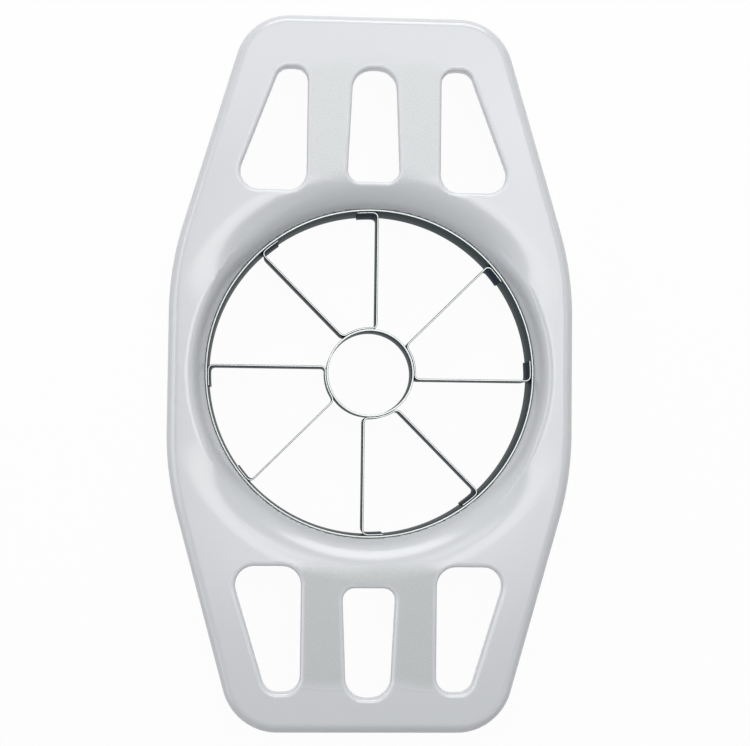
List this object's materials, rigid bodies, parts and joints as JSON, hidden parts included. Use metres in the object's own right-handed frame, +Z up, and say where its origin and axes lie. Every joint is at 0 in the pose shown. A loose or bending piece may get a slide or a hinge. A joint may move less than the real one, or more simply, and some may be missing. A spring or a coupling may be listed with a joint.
{
  "type": "hand apple slicer",
  "caption": "Push-down apple slicer: oblong moulded frame with slotted grips at both ends round a steel blade ring with radial blades and a core tube.",
  "frame": {"origin": "middle of the box round the part, on the surface that it lies on", "axes": "+Y along the length, towards the end with the wider border; +X across; +Z up, away from the cutting edges"},
  "size_m": [0.1036, 0.1826, 0.02],
  "materials": {
    "frame_plastic": "white moulded plastic, glossy on the edges, finer sheen on the deck",
    "ring_plastic": "white moulded plastic",
    "blade_steel": "polished stainless strip with ground edge",
    "band_steel": "rolled stainless band"
  },
  "bodies": {
    "root": {"frame": "frame_plastic", "retaining_ring": "ring_plastic", "outer_band": "band_steel", "core_ring": "blade_steel", "blade_strip_1": "blade_steel", "blade_strip_2": "blade_steel", "blade_strip_3": "blade_steel", "blade_strip_4": "blade_steel"}
  },
  "joints": []
}
